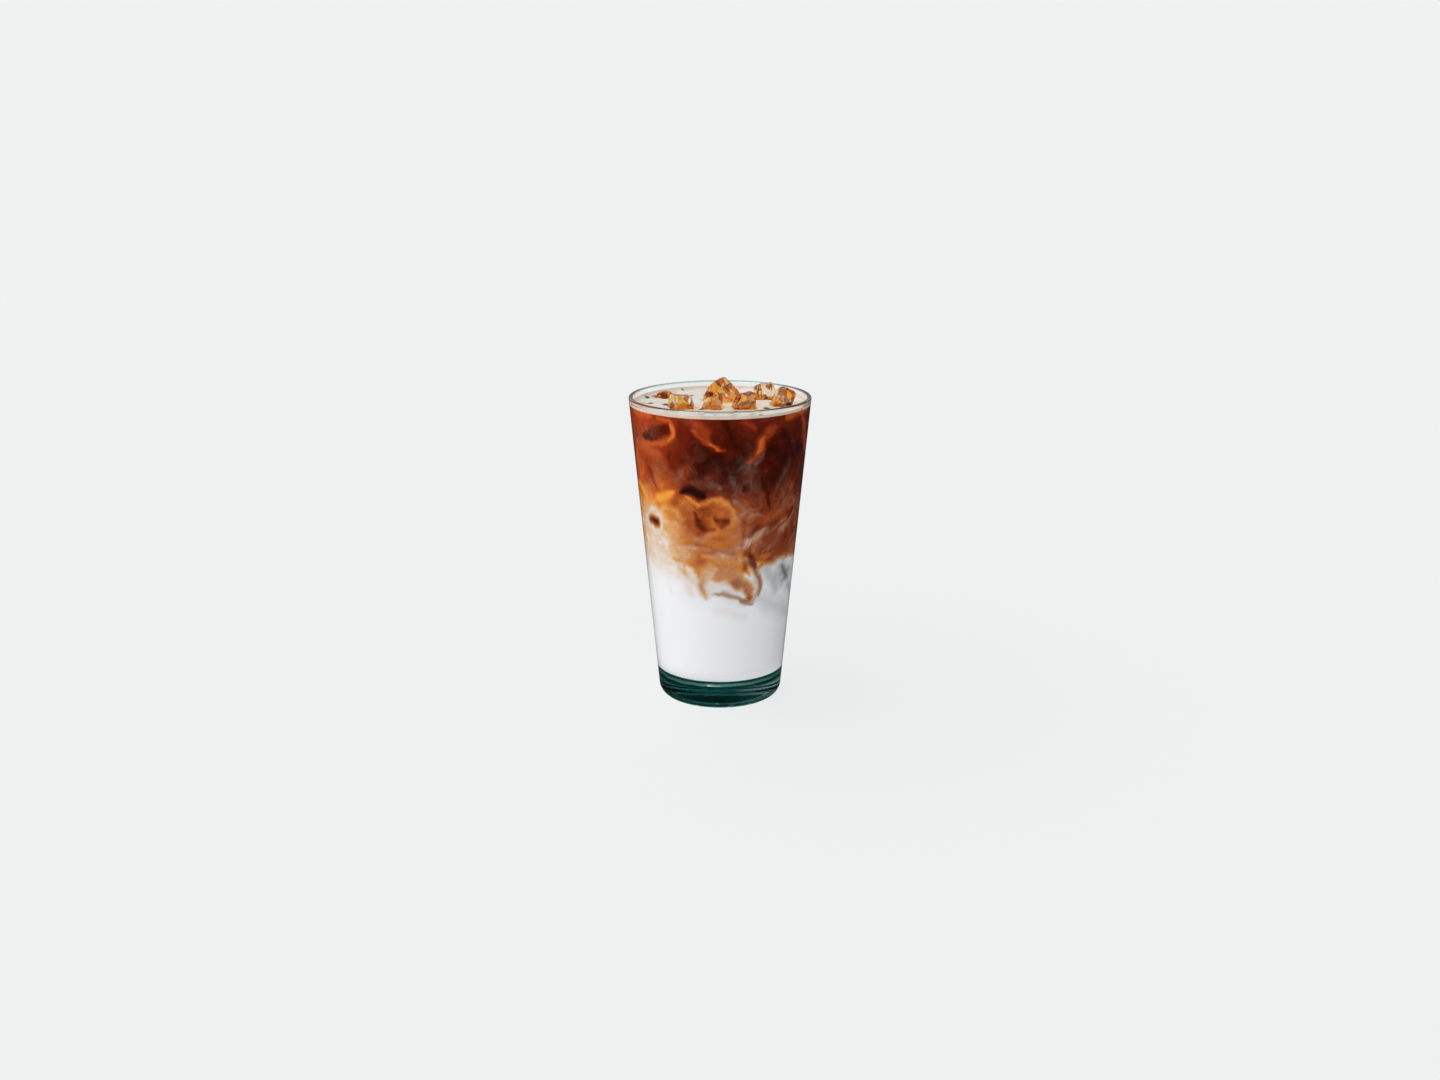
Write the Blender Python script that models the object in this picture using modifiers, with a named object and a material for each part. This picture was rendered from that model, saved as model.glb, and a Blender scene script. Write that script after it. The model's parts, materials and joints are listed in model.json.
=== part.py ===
"""Iced caramel macchiato in a straight-sided tumbler.

Milk at the bottom, a marbled layer of milk and espresso above it, dark espresso on top, a thin
pale foam, and seven ice cubes that stand up out of the foam. The glass stands on the table at
z = 0, centred on the Z axis. The front of the drink, with the steepest swirls, faces -Y.
"""

import math
import random

import bpy
from mathutils import Euler, Vector

MM = 0.001

# Glass: a one-pint tumbler with a thick base
HEIGHT = 150 * MM
RIM_RADIUS = 44 * MM
FOOT_RADIUS = 29.7 * MM
LIP_RADIUS = 1.1 * MM
FOOT_ROUND = 5.5 * MM
WALL_AT_FOOT = 3.0 * MM
FLOOR = 14 * MM
FLOOR_ROUND = 7 * MM
PUNT_RADIUS = 21 * MM
PUNT_DEPTH = 1.2 * MM
TURN_STEPS = 64

# Drink: surface heights are above the table
GAP = 0.3 * MM
SURFACE = 145.8 * MM
MENISCUS = 1.7 * MM
MENISCUS_WIDTH = 4.5 * MM
MENISCUS_STEPS = 4
FOAM_THICKNESS = 1.3 * MM
ESPRESSO_BASE = 106 * MM
ESPRESSO_SLANT = 0.31
ESPRESSO_WAVE = 2.2 * MM
ESPRESSO_WAVE_LENGTH = 31 * MM
MILK_TOP = 62.5 * MM
MILK_WAVE = 10 * MM
MILK_WAVE_LENGTH = 44 * MM
MILK_CREST_X = -20 * MM
MILK_DEPTH_WAVE = 3 * MM
MILK_DEPTH_WAVE_LENGTH = 52 * MM
SLAB_WIDTH = 92 * MM
SLAB_CELLS = 18

# Ice: centre, size and turn (degrees) of each cube
ICE_ROUND = 2.0 * MM
ICE_ROUND_STEPS = 3
ICE_UNEVENNESS = 0.07
ICE = {
    "ice_1": ((-27.2, 20.4, 142.8), (11.0, 10.0, 11.0), (5, -4, 52)),
    "ice_2": ((-18.2, -8.5, 144.4), (12.6, 14.0, 15.0), (-5, 6, 14)),
    "ice_3": ((0.0, 10.8, 147.4), (14.0, 13.5, 14.0), (10, 44, -26)),
    "ice_4": ((-3.2, -10.0, 145.4), (10.6, 12.0, 16.0), (-9, 9, -14)),
    "ice_5": ((11.6, -9.3, 145.7), (11.6, 12.5, 15.0), (-7, -6, 9)),
    "ice_6": ((23.2, 15.6, 145.0), (12.0, 12.0, 17.0), (-3, -13, -2)),
    "ice_7": ((29.6, -1.2, 146.4), (9.0, 12.5, 16.0), (-10, 26, 6)),
}


def clear_scene():
    for thing in list(bpy.data.objects):
        bpy.data.objects.remove(thing, do_unlink=True)


def new_collection(name):
    collection = bpy.data.collections.new(name)
    bpy.context.scene.collection.children.link(collection)
    return collection


def material(name, color, roughness, transmission=0.0):
    made = bpy.data.materials.new(name)
    made.use_nodes = True
    shader = made.node_tree.nodes["Principled BSDF"]
    shader.inputs["Base Color"].default_value = (*color, 1.0)
    shader.inputs["Roughness"].default_value = roughness
    shader.inputs["Metallic"].default_value = 0.0
    shader.inputs["Transmission Weight"].default_value = transmission
    made.diffuse_color = (*color, 1.0)
    return made


def outer_radius(z):
    """The outside wall is a straight line from the foot to the rim."""
    return FOOT_RADIUS + (RIM_RADIUS - FOOT_RADIUS) * z / HEIGHT


OUTER_SLOPE = (RIM_RADIUS - FOOT_RADIUS) / HEIGHT
LIP_HEIGHT = HEIGHT - LIP_RADIUS
LIP_CENTRE = outer_radius(LIP_HEIGHT) - LIP_RADIUS * math.hypot(1, OUTER_SLOPE)
INNER_FOOT = FOOT_RADIUS - WALL_AT_FOOT
INNER_SLOPE = (LIP_CENTRE - LIP_RADIUS - INNER_FOOT) / LIP_HEIGHT


def inner_radius(z):
    """The inside wall runs up to the lip, so the wall is thicker at the foot."""
    return INNER_FOOT + INNER_SLOPE * z


def arc(centre_r, centre_z, radius, start, end, steps):
    """Points along an arc in the profile's plane, with the angles in degrees."""
    points = []
    for step in range(steps + 1):
        angle = math.radians(start + (end - start) * step / steps)
        points.append((centre_r + radius * math.cos(angle), centre_z + radius * math.sin(angle)))
    return points


def inner_corner(gap):
    """The round between the floor and the inside wall, moved inwards by the gap."""
    tilt = math.degrees(math.atan(INNER_SLOPE))
    centre_z = FLOOR + FLOOR_ROUND
    centre_r = inner_radius(centre_z) - FLOOR_ROUND * math.hypot(1, INNER_SLOPE)
    return arc(centre_r, centre_z, FLOOR_ROUND - gap, -90, -tilt, 6)


def glass_profile():
    inner_tilt = math.degrees(math.atan(INNER_SLOPE))
    outer_tilt = math.degrees(math.atan(OUTER_SLOPE))
    foot_centre = outer_radius(FOOT_ROUND) - FOOT_ROUND * math.hypot(1, OUTER_SLOPE)
    profile = [(0, FLOOR)]
    profile += inner_corner(0)
    profile += arc(LIP_CENTRE, LIP_HEIGHT, LIP_RADIUS, 180 - inner_tilt, -outer_tilt, 6)
    profile += arc(foot_centre, FOOT_ROUND, FOOT_ROUND, -outer_tilt, -90, 6)
    profile.append((PUNT_RADIUS, 0))
    for part in (2 / 3, 1 / 3, 0):
        profile.append((PUNT_RADIUS * part, PUNT_DEPTH * (1 - part ** 2)))
    return profile


def drink_surface(radius):
    """The liquid climbs the glass at its edge."""
    edge = inner_radius(SURFACE) - GAP
    climb = max(0.0, 1 - (edge - radius) / MENISCUS_WIDTH)
    return SURFACE + MENISCUS * climb ** 2


def surface_line(sink):
    """The surface from the axis out to the wall, lowered by sink."""
    edge = inner_radius(SURFACE + MENISCUS - sink) - GAP
    line = [(0, SURFACE - sink)]
    for step in range(MENISCUS_STEPS + 1):
        radius = edge - MENISCUS_WIDTH * (1 - step / MENISCUS_STEPS)
        line.append((radius, drink_surface(radius) - sink))
    return line


def drink_profile():
    """The milk and coffee under the foam, a gap away from the glass and the foam."""
    profile = surface_line(FOAM_THICKNESS + GAP)
    profile += reversed(inner_corner(GAP))
    profile.append((0, FLOOR + GAP))
    return profile


def foam_profile():
    return surface_line(0) + surface_line(FOAM_THICKNESS)[::-1]


def turned(name, profile, collection):
    """A profile in the XZ plane, turned round the Z axis."""
    mesh = bpy.data.meshes.new(name)
    points = [(radius, 0, z) for radius, z in profile]
    edges = [(index, index + 1) for index in range(len(points) - 1)]
    mesh.from_pydata(points, edges, [])
    made = bpy.data.objects.new(name, mesh)
    collection.objects.link(made)
    screw = made.modifiers.new("turn", "SCREW")
    screw.axis = "Z"
    screw.angle = math.tau
    screw.steps = TURN_STEPS
    screw.render_steps = TURN_STEPS
    screw.use_merge_vertices = True
    screw.merge_threshold = 0.00001
    screw.use_smooth_shade = True
    return made


def espresso_base(x, y):
    """Where the dark espresso ends: higher on the left, with shallow waves."""
    wave = math.cos(math.tau * (x - 0.4 * y) / ESPRESSO_WAVE_LENGTH)
    return ESPRESSO_BASE - ESPRESSO_SLANT * x + ESPRESSO_WAVE * wave


def milk_top(x, y):
    """Where the milk starts: two crests with a deep swirl between them."""
    across = math.cos(math.tau * (x - MILK_CREST_X) / MILK_WAVE_LENGTH)
    depth = math.sin(math.tau * y / MILK_DEPTH_WAVE_LENGTH)
    return MILK_TOP + MILK_WAVE * across + MILK_DEPTH_WAVE * depth


def slab(name, low, high, collection):
    """A block whose underside and top follow two height functions."""
    bpy.ops.mesh.primitive_grid_add(x_subdivisions=SLAB_CELLS, y_subdivisions=SLAB_CELLS, size=SLAB_WIDTH)
    made = bpy.context.object
    made.name = name
    bpy.ops.object.mode_set(mode="EDIT")
    bpy.ops.mesh.select_all(action="SELECT")
    bpy.ops.mesh.quads_convert_to_tris(quad_method="FIXED")
    bpy.ops.mesh.extrude_region_move(TRANSFORM_OT_translate={"value": (0, 0, HEIGHT)})
    bpy.ops.mesh.select_all(action="SELECT")
    bpy.ops.mesh.normals_make_consistent(inside=False)
    bpy.ops.object.mode_set(mode="OBJECT")
    for vertex in made.data.vertices:
        x, y, z = vertex.co
        follow = high if z > HEIGHT / 2 else low
        vertex.co.z = follow(x, y)
    return as_cutter(made, collection)


def as_cutter(made, collection):
    for home in list(made.users_collection):
        home.objects.unlink(made)
    collection.objects.link(made)
    made.hide_render = True
    made.display_type = "WIRE"
    return made


def above(height, gap):
    return lambda x, y: height(x, y) + gap / 2


def below(height, gap):
    return lambda x, y: height(x, y) - gap / 2


def beyond_top(x, y):
    return HEIGHT + 5 * MM


def beyond_floor(x, y):
    return FLOOR - 5 * MM


def layer(name, low, high, collection, cutters):
    """One layer of the drink: the turned filling between two uneven heights."""
    made = turned(name, drink_profile(), collection)
    keep = made.modifiers.new("keep layer", "BOOLEAN")
    keep.operation = "INTERSECT"
    keep.solver = "EXACT"
    keep.object = slab(name + "_slab", low, high, cutters)
    return made


def ice_cube(name, grow, collection):
    """An uneven cube with rounded edges; grow makes it larger all round."""
    centre, size, turn = ICE[name]
    chance = random.Random(name)
    bpy.ops.mesh.primitive_cube_add(size=1)
    made = bpy.context.object
    made.name = name if not grow else name + "_seat"
    for vertex in made.data.vertices:
        uneven = Vector([1 - ICE_UNEVENNESS * chance.random() for _ in range(3)])
        for axis in range(3):
            full = size[axis] * MM * uneven[axis]
            vertex.co[axis] = math.copysign(full / 2 + grow, vertex.co[axis])
    rounding = made.modifiers.new("melted edges", "BEVEL")
    rounding.width = ICE_ROUND + grow
    rounding.segments = ICE_ROUND_STEPS
    rounding.limit_method = "NONE"
    made.location = Vector(centre) * MM
    made.rotation_euler = Euler([math.radians(angle) for angle in turn])
    for home in list(made.users_collection):
        home.objects.unlink(made)
    collection.objects.link(made)
    made.data.shade_smooth()
    return made


def cut_round_ice(made, seats):
    cut = made.modifiers.new("seats of the ice", "BOOLEAN")
    cut.operation = "DIFFERENCE"
    cut.solver = "EXACT"
    cut.operand_type = "COLLECTION"
    cut.collection = seats


def build():
    clear_scene()
    parts = new_collection("iced_caramel_macchiato")
    cutters = new_collection("cutters")
    seats = new_collection("ice_seats")

    glass = turned("glass", glass_profile(), parts)
    glass.data.materials.append(material("green_glass", (0.72, 0.86, 0.82), 0.03, 0.9))

    milk = layer("milk", beyond_floor, below(milk_top, GAP), parts, cutters)
    milk.data.materials.append(material("milk", (0.80, 0.80, 0.81), 0.25))

    marbled = layer("marbled", above(milk_top, GAP), below(espresso_base, GAP), parts, cutters)
    marbled.data.materials.append(material("milky_coffee", (0.45, 0.18, 0.06), 0.25))

    espresso = layer("espresso", above(espresso_base, GAP), beyond_top, parts, cutters)
    espresso.data.materials.append(material("espresso", (0.09, 0.010, 0.002), 0.2))

    foam = turned("foam", foam_profile(), parts)
    foam.data.materials.append(material("foam", (0.74, 0.60, 0.48), 0.4))

    ice_finish = material("ice", (0.80, 0.42, 0.16), 0.08, 0.6)
    for name in ICE:
        cube = ice_cube(name, 0, parts)
        cube.data.materials.append(ice_finish)
        seat = ice_cube(name, GAP, seats)
        as_cutter(seat, seats)
    for made in (espresso, foam):
        cut_round_ice(made, seats)


build()
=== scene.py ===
"""Looks for the iced caramel macchiato: a pint tumbler of green glass, filled in layers.

Milk at the bottom, coffee folding down into it, dark espresso above, a thin pale foam, and seven
ice cubes that stand up out of the foam. The liquid against the wall is painted point by point
with five shares (coffee, glow, shade, haze and cool shade), and one material turns them into
colour; glow is painted light coming through the liquid, shade and cool shade are painted shade.
The glass stands at z = 0 on the Z axis, and its front faces -Y.
"""

import itertools
import json
import math
import random

import bpy
import numpy as np
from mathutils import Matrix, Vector

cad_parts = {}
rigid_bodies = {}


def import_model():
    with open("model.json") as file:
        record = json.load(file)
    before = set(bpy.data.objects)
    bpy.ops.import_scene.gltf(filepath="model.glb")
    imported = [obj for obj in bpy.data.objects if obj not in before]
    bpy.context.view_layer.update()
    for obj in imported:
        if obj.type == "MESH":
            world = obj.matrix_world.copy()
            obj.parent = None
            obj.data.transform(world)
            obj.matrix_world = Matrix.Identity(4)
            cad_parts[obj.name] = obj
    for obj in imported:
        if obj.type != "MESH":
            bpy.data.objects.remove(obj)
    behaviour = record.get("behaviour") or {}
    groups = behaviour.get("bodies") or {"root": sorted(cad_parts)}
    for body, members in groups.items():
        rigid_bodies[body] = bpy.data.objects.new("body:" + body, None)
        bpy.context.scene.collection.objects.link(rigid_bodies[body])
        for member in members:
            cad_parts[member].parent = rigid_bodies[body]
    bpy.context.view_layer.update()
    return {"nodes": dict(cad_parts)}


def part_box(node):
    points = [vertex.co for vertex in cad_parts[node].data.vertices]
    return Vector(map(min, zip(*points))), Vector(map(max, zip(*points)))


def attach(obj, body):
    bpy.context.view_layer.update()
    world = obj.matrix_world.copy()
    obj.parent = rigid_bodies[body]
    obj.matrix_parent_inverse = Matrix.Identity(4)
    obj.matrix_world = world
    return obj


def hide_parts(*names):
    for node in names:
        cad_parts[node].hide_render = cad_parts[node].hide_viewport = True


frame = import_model()

MM = 0.001

# The tumbler, as the solids have it; heights are above the table, in mm
HEIGHT = 150.0
RIM_RADIUS = 44.0
FOOT_RADIUS = 29.7
LIP_RADIUS = 1.1
FOOT_ROUND = 5.5
WALL_AT_FOOT = 3.0
FLOOR = 14.0
FLOOR_ROUND = 7.0
PUNT_RADIUS = 21.0
PUNT_DEPTH = 1.2
PUNT_RINGS = 6
GLASS_SIDES = 256

# The drink, in mm
REACH = 0.1
SURFACE = 145.8
MENISCUS = 1.7
MENISCUS_WIDTH = 4.5
FOAM_THICKNESS = 1.3
FOAM_RINGS = 54
FOAM_RING_WIDTH = 0.75
SKIN_SIDES = 480
MILK_ROWS = 100
MARBLED_ROWS = 88
ESPRESSO_ROWS = 84
ICE_CLEARANCE = 0.3
ICE_CHIPS = 7
ICE_CELL = 0.4
PIT_DEPTH = 25.0

OUTER_SLOPE = (RIM_RADIUS - FOOT_RADIUS) / HEIGHT
LIP_HEIGHT = HEIGHT - LIP_RADIUS
LIP_CENTRE = FOOT_RADIUS + OUTER_SLOPE * LIP_HEIGHT - LIP_RADIUS * math.hypot(1, OUTER_SLOPE)
INNER_FOOT = FOOT_RADIUS - WALL_AT_FOOT
INNER_SLOPE = (LIP_CENTRE - LIP_RADIUS - INNER_FOOT) / LIP_HEIGHT


def skin_radius(height):
    """The liquid's own radius in mm: the inside wall, and a little into it."""
    return INNER_FOOT + INNER_SLOPE * height + REACH


# The drink's swirls. Places on the skin are (turn in degrees, height in mm), turn 0 in front and
# positive to the right. Every function here works on arrays of points in mm.

ESPRESSO_BASE = 106.0
ESPRESSO_SLANT = 0.31
ESPRESSO_WAVE = 2.2
ESPRESSO_WAVE_LENGTH = 31.0
MILK_TOP = 62.5
MILK_WAVE = 10.0
MILK_WAVE_LENGTH = 44.0
MILK_CREST_X = -20.0
MILK_DEPTH_WAVE = 3.0
MILK_DEPTH_WAVE_LENGTH = 52.0


def espresso_base(x, y):
    """Where the dark espresso ends, as in the solids: higher on the left, with shallow waves."""
    wave = np.cos(math.tau * (x - 0.4 * y) / ESPRESSO_WAVE_LENGTH)
    return ESPRESSO_BASE - ESPRESSO_SLANT * x + ESPRESSO_WAVE * wave


def milk_top(x, y):
    """Where the milk starts, as in the solids: two crests with a deep swirl between them."""
    across = np.cos(math.tau * (x - MILK_CREST_X) / MILK_WAVE_LENGTH)
    depth = np.sin(math.tau * y / MILK_DEPTH_WAVE_LENGTH)
    return MILK_TOP + MILK_WAVE * across + MILK_DEPTH_WAVE * depth


def eased(share):
    """0 below 0, 1 above 1, and a soft step between."""
    share = np.clip(share, 0, 1)
    return share * share * (3 - 2 * share)


def unevenness(points, lump, seed):
    """Smooth random relief from about -1 to 1, in lumps of the given size."""
    size = 24
    slopes = np.random.default_rng(seed).normal(size=(size, size, size, 3))
    slopes /= np.linalg.norm(slopes, axis=-1, keepdims=True)
    place = points / lump
    corner = np.floor(place).astype(int)
    within = place - corner
    ease = within ** 3 * (within * (within * 6 - 15) + 10)
    total = np.zeros(len(points))
    for step in itertools.product((0, 1), repeat=3):
        share = np.prod(np.where(step, ease, 1 - ease), axis=1)
        slope = slopes[tuple(((corner + step) % size).T)]
        total += share * np.einsum("ij,ij->i", slope, within - step)
    return total * 1.7


def carried_along(points, lump, distance, seed):
    """The points, moved as slow currents would carry them."""
    drift = [unevenness(points, lump, seed + axis) for axis in range(3)]
    return points + distance * np.stack(drift, axis=1)


def rounded_route(route):
    """A route through the same places, with its corners drawn as curves."""
    if len(route) < 3:
        return route
    ends = [route[0]] + list(route) + [route[-1]]
    curve = []
    for before, start, end, after in zip(ends, ends[1:], ends[2:], ends[3:]):
        for step in range(4):
            part = step / 4
            curve.append(tuple(
                0.5 * (2 * b + (c - a) * part + (2 * a - 5 * b + 4 * c - d) * part ** 2
                       + (3 * b - a - 3 * c + d) * part ** 3)
                for a, b, c, d in zip(before, start, end, after)))
    return curve + [route[-1]]


# How much coffee is in the milk (0 to 1), and how much painted light comes through it, at heights
# in mm on each side of the glass
COFFEE_DOWN = {
    "left": [(58, 0.0), (66, 0.04), (76, 0.17), (90, 0.24), (100, 0.38), (108, 0.58), (117, 0.76),
             (146, 0.82)],
    "centre": [(50, 0.0), (58, 0.06), (67, 0.26), (78, 0.54), (92, 0.63), (104, 0.66), (113, 0.84),
               (126, 0.96), (146, 0.90)],
    "right": [(60, 0.0), (72, 0.06), (76, 0.62), (82, 0.70), (102, 0.72), (114, 0.86), (126, 0.95),
              (146, 0.87)],
    "back": [(48, 0.0), (60, 0.10), (70, 0.42), (84, 0.58), (98, 0.66), (108, 0.82), (124, 0.95),
             (146, 0.87)],
}
GLOW_DOWN = {
    "left": [(60, 0.1), (90, 0.3), (105, 0.5), (117, 0.40), (128, 0.30), (146, 0.65)],
    "centre": [(60, 0.0), (80, 0.10), (104, 0.10), (112, 0.0), (130, 0.05), (146, 0.18)],
    "right": [(60, 0.0), (130, 0.0), (146, 0.18)],
    "back": [(60, 0.0), (84, 0.15), (108, 0.1), (146, 0.15)],
}
SIDES_ROUND = [(-180, "back"), (-115, "back"), (-68, "left"), (-42, "left"), (-16, "centre"),
               (14, "centre"), (32, "right"), (80, "right"), (125, "back"), (180, "back")]


def level_round(turn, height, levels):
    """The level at each turn and height, blended between the sides."""
    total = np.zeros(len(turn))
    for side, column in levels.items():
        turns = [place for place, _ in SIDES_ROUND]
        weight = np.interp(turn, turns, [float(name == side) for _, name in SIDES_ROUND])
        total += weight * np.interp(height, *zip(*column))
    return total


def combed(points, angle, stretch):
    """The points, pressed together along a slope, so that noise on them becomes long streaks."""
    x, y, z = points.T
    along = x * math.cos(angle) + z * math.sin(angle)
    across = z * math.cos(angle) - x * math.sin(angle)
    return np.stack([along / stretch, y, across], axis=1)


SHARES = ("coffee", "glow", "shade", "haze", "cool")


class Swirls:
    """The shares at each point of a piece of the drink, and the strokes that change them."""

    def __init__(self, points):
        self.points = points
        x, y, self.height = points.T
        self.radius = np.hypot(x, y)
        self.turn = np.degrees(np.arctan2(x, -y))
        shaken = carried_along(carried_along(points, 8.0, 1.7, 11), 3.0, 0.8, 21)
        self.shake = shaken - points
        self.folded = carried_along(carried_along(points, 21.0, 7.0, 31), 8.0, 2.6, 41)
        slope = combed(self.folded, math.radians(24), 2.6)
        self.streaks = unevenness(slope, 5.5, 55) + 0.55 * unevenness(slope, 2.6, 56)
        self.streaks += 0.3 * unevenness(slope, 1.2, 57)
        self.clouds = unevenness(self.folded, 8, 58) + 0.5 * unevenness(self.folded, 4, 59)
        rising = combed(carried_along(self.folded, 5, 1.6, 64), math.radians(50), 2.4)
        self.threads = (1 - np.abs(unevenness(rising, 3.4, 61))) ** 3
        self.threads *= 0.7 + 0.6 * unevenness(self.folded, 5, 62)
        self.share = {name: np.zeros(len(points)) for name in SHARES}

    def stroke(self, route, width, soft, taper, shake):
        """1 along the middle of a brush line of this half width, and 0 outside it."""
        heights = [height for _, height in route]
        margin = 2 * width + 4
        near = (self.height > min(heights) - margin) & (self.height < max(heights) + margin)
        route = rounded_route(route)
        last = max(len(route) - 1, 1)
        stops = [(turn, height, index / last) for index, (turn, height) in enumerate(route)]
        best = np.zeros(near.sum())
        for (turn_a, height_a, part_a), (turn_b, height_b, part_b) in zip(stops, stops[1:] or stops):
            reach = skin_radius((height_a + height_b) / 2)
            away = (self.turn[near] - turn_a + 180) % 360 - 180
            along = np.radians(away) * self.radius[near] + shake * self.shake[near, 0]
            up = self.height[near] - height_a + shake * self.shake[near, 2]
            run = math.radians((turn_b - turn_a + 180) % 360 - 180) * reach
            rise = height_b - height_a
            length = max(run * run + rise * rise, 1e-9)
            place = np.clip((along * run + up * rise) / length, 0, 1)
            distance = np.hypot(along - place * run, up - place * rise)
            part = part_a + place * (part_b - part_a)
            here = width * (1 - taper * (2 * part - 1) ** 2) * (1 + 0.25 * shake * self.streaks[near])
            best = np.maximum(best, eased((1 - distance / here) / soft))
        mask = np.zeros(len(self.points))
        broken = 0.3 * self.clouds[near] + 0.2 * self.streaks[near] - 0.15
        mask[near] = best * np.clip(1 + shake * broken, 0, 1)
        return mask

    def paint(self, route, width, soft=1.0, taper=0.4, shake=1.0, **levels):
        """Brings the named shares towards new levels along a brush line."""
        mask = self.stroke(route, width, soft, taper, shake)
        for name, level in levels.items():
            self.share[name] += (level - self.share[name]) * mask

    def wisp(self, route, width, strength):
        """Adds thin threads of milk, close together along a broad soft line."""
        mask = self.stroke(route, width, 1.0, 0.6, 1.0)
        self.share["haze"] += strength * mask * np.clip(0.25 + self.threads, 0, 1)


def pour_layers(swirls):
    """Milk, marbled coffee and espresso, folded into each other by slow currents."""
    points, folded = swirls.points, swirls.folded
    lifted = swirls.height + 3.4 * unevenness(folded, 15, 51) + 1.6 * unevenness(folded, 6, 52)
    lifted += 0.9 * swirls.streaks
    coffee = level_round(swirls.turn, lifted, COFFEE_DOWN)
    marbled = eased(coffee / 0.3) * eased((0.90 - coffee) / 0.25)
    deep = eased((coffee - 0.75) / 0.15)
    coffee += 0.075 * marbled * swirls.streaks + 0.09 * marbled * swirls.clouds
    coffee += 0.085 * deep * swirls.clouds + 0.03 * deep * swirls.streaks
    threads = swirls.threads * eased((unevenness(points, 16, 65) + 0.15) / 0.6)
    gold = eased((unevenness(folded * (1, 1, 1.6), 10, 63) - 0.1) / 0.6)
    swirls.share["coffee"] = coffee - 0.05 * marbled * gold
    swirls.share["glow"] = (level_round(swirls.turn, lifted, GLOW_DOWN) * (0.8 + 0.5 * swirls.clouds)
                            + 0.25 * marbled * gold)
    swirls.share["haze"] = 0.20 * threads * (marbled + 0.2 * deep)


def fold_in_espresso(swirls):
    """The dark upper third: red where light comes through on the left, near black in the middle."""
    paint = swirls.paint
    paint([(-70, 145), (-52, 146)], 4.5, coffee=0.72, glow=0.95)
    paint([(-72, 130), (-58, 129), (-44, 127)], 5, coffee=0.72, glow=0.65)
    paint([(-80, 108), (-70, 116), (-74, 126)], 6.5, soft=1.4, shake=1.4, coffee=0.58, glow=0.8)
    paint([(-36, 129), (-32, 120)], 4.5, coffee=0.88, glow=0.15)
    paint([(-20, 146), (-13, 142), (-8, 138)], 5, coffee=0.80, glow=0.55)
    paint([(2, 145), (6, 139), (8, 134)], 4.5, coffee=0.96, glow=0)
    paint([(-6, 127), (4, 124), (14, 125), (10, 117)], 7.5, soft=1.2, coffee=1, glow=0)
    paint([(-28, 118), (-22, 123)], 4.5, coffee=0.78, glow=0.2)
    paint([(14, 145), (22, 141)], 3.5, coffee=0.84, glow=0.4)
    paint([(44, 137), (50, 131), (46, 123)], 5.5, coffee=0.98, glow=0)
    paint([(40, 120), (45, 114)], 4, coffee=0.96, glow=0)
    paint([(74, 146), (62, 145), (48, 144)], 3, coffee=0.66, glow=0.6)
    paint([(66, 142), (73, 134), (78, 126), (90, 128)], 6, soft=1.3, shake=1.3, coffee=0.70, glow=0.55)
    paint([(-18, 140.5), (-11, 136.5), (-4, 133), (0, 131.8)], 2.4, taper=0.3, coffee=0.74, glow=0.55)
    paint([(-7, 134.5), (-1.5, 132)], 1.5, coffee=0.62, glow=0.8)
    paint([(22, 127), (27, 132), (31, 137), (37, 140)], 4.8, coffee=0.76, glow=0.42)
    paint([(24, 129), (28, 133), (31, 137)], 1.9, taper=0.8, coffee=0.62, glow=0.65)


def smoke_in_the_espresso(swirls):
    """Thin milk drifting up like smoke, right of the middle, and beside the sunk cubes."""
    wisp = swirls.wisp
    wisp([(17, 128), (20, 121), (26, 111)], 7, 0.12)
    wisp([(8, 118), (13, 112), (12, 106)], 4, 0.17)
    wisp([(0, 113), (-10, 116), (-18, 115)], 4, 0.15)
    wisp([(-32, 114), (-27, 121)], 4, 0.13)
    wisp([(25, 124), (31, 130)], 2.2, 0.22)
    wisp([(42, 112), (50, 119), (56, 124)], 4, 0.10)


def sunk_ice_in_the_espresso(swirls):
    """A cube against the glass at the upper left: a dark window with a lit edge."""
    paint = swirls.paint
    paint([(-57, 134.5), (-46, 137), (-36, 140)], 4.8, soft=0.6, shake=0.5, coffee=0.88, glow=0.05)
    paint([(-60, 134), (-52, 134.5)], 2.6, shake=0.5, coffee=0.95, shade=0.35)
    paint([(-45, 134.2), (-36, 137)], 1.3, coffee=0.74, glow=0.3)
    paint([(-44, 145), (-35, 144), (-31.5, 140.5), (-33, 136.5), (-42, 133), (-54, 131.5)], 2.4,
          soft=0.9, shake=0.5, coffee=0.68, glow=0.6, shade=0)
    paint([(-33.5, 142), (-31.5, 138), (-36, 134.5)], 1.5, shake=0.5, coffee=0.54, glow=0.85)
    paint([(-25.5, 143), (-26, 136)], 2.8, coffee=0.93, glow=0.2)
    paint([(-58, 121), (-55, 115.5), (-49, 111)], 2.2, coffee=0.88, shade=0.2)
    paint([(-51, 121), (-46, 116)], 2.8, coffee=0.74, glow=0.55)


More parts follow.
